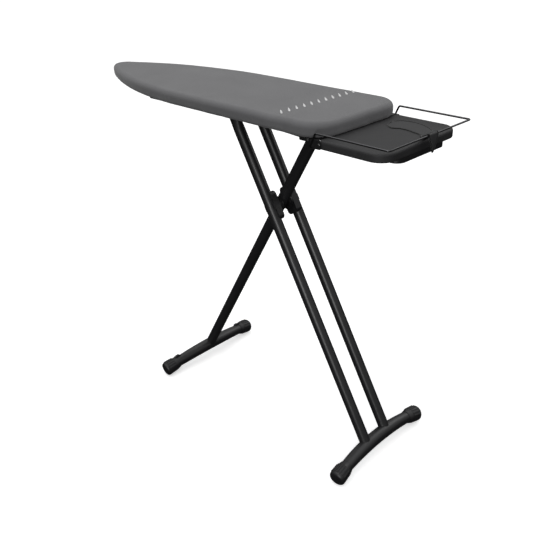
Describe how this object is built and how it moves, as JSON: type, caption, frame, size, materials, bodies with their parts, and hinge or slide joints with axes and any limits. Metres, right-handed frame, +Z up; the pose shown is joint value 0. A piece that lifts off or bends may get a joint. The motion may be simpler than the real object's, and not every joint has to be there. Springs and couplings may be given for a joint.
{
  "type": "folding ironing board",
  "caption": "Folding ironing board with a tapered padded top, crossed legs, an adjuster lock, and a padded rest with a wire guard and soft strap at its square end.",
  "frame": {"origin": "middle of the overall footprint, on the floor, with the legs opened and locked", "axes": "+X along the board from the nose to the square end with the rest, +Y across the board, +Z up"},
  "size_m": [1.2249, 0.4074, 1],
  "materials": {
    "cover": "woven grey cotton",
    "pad": "felt over foam",
    "steel_dark": "satin black powder coat",
    "mesh_steel": "grey powder coat",
    "bright_steel": "zinc plated",
    "guard_steel": "bright wire",
    "plastic": "moulded, fine grain",
    "bush": "acetal",
    "rest_cover": "satin black coated cloth",
    "foam": "open foam",
    "strap": "satin black coated cloth",
    "cord": "braided cord"
  },
  "bodies": {
    "board": {"cover": "cover", "cover_cord": "cord", "pad": "pad", "top_plate": "mesh_steel", "rim": "mesh_steel", "nose_cross_member": "mesh_steel", "middle_cross_member": "mesh_steel", "lock_cross_member": "mesh_steel", "hinge_cross_member": "mesh_steel", "rest_cross_member": "mesh_steel", "rail_left": "steel_dark", "rail_right": "steel_dark", "lock_housing": "steel_dark", "fulcrum_pin": "bright_steel", "hinge_bracket": "steel_dark", "hinge_pin": "bright_steel", "hinge_nut": "bright_steel", "rest_cover": "rest_cover", "rest_pan": "steel_dark", "rest_foam": "foam", "rest_beam": "steel_dark", "rest_ear_left": "steel_dark", "rest_ear_right": "steel_dark", "rest_bolts": "bright_steel", "guard_wire": "guard_steel", "strap": "strap", "frame_screws": "bright_steel"},
    "inner_leg": {"inner_leg_tube": "steel_dark", "inner_leg_knuckle": "steel_dark", "hinge_bush": "bush", "pivot_bush": "bush", "rear_foot_bar": "steel_dark", "rear_foot_cap_left": "plastic", "rear_foot_cap_right": "plastic"},
    "outer_leg": {"outer_tube_left": "steel_dark", "outer_tube_right": "steel_dark", "pivot_saddle_left": "plastic", "pivot_saddle_right": "plastic", "pivot_bolt": "bright_steel", "pivot_washers": "bright_steel", "front_foot_bar": "steel_dark", "front_foot_cap_left": "plastic", "front_foot_cap_right": "plastic"},
    "slider": {"cross_rod": "bright_steel", "slider_block_left": "plastic", "slider_block_right": "plastic", "cross_rod_rings": "bright_steel", "adjuster_rod": "bright_steel", "adjuster_stop": "bright_steel"},
    "lever": {"release_lever": "steel_dark", "lever_grip": "plastic", "lever_spring": "bright_steel"}
  },
  "joints": [
    {"name": "leg_fold", "type": "hinge", "parent": "board", "child": "inner_leg", "pos_m": [0.2813, 0, 0.946], "axis": [0, 1, 0], "range_deg": [0, 56.7]},
    {"name": "leg_cross", "type": "hinge", "parent": "inner_leg", "child": "outer_leg", "pos_m": [0.1355, 0, 0.692], "axis": [0, 1, 0], "range_deg": [-113.4, 0]},
    {"name": "slider_turn", "type": "hinge", "parent": "outer_leg", "child": "slider", "pos_m": [-0.0103, 0, 0.946], "axis": [0, 1, 0], "range_deg": [0, 56.7]},
    {"name": "lever_squeeze", "type": "hinge", "parent": "board", "child": "lever", "pos_m": [0.0717, -0.09875, 0.953], "axis": [0, 0, 1], "range_deg": [0, 3.5], "stiffness_Nm_per_rad": 2}
  ],
  "couplings": [
    {"joint": "leg_cross", "follows": "leg_fold", "ratio": -2},
    {"joint": "slider_turn", "follows": "leg_fold", "ratio": 1}
  ]
}
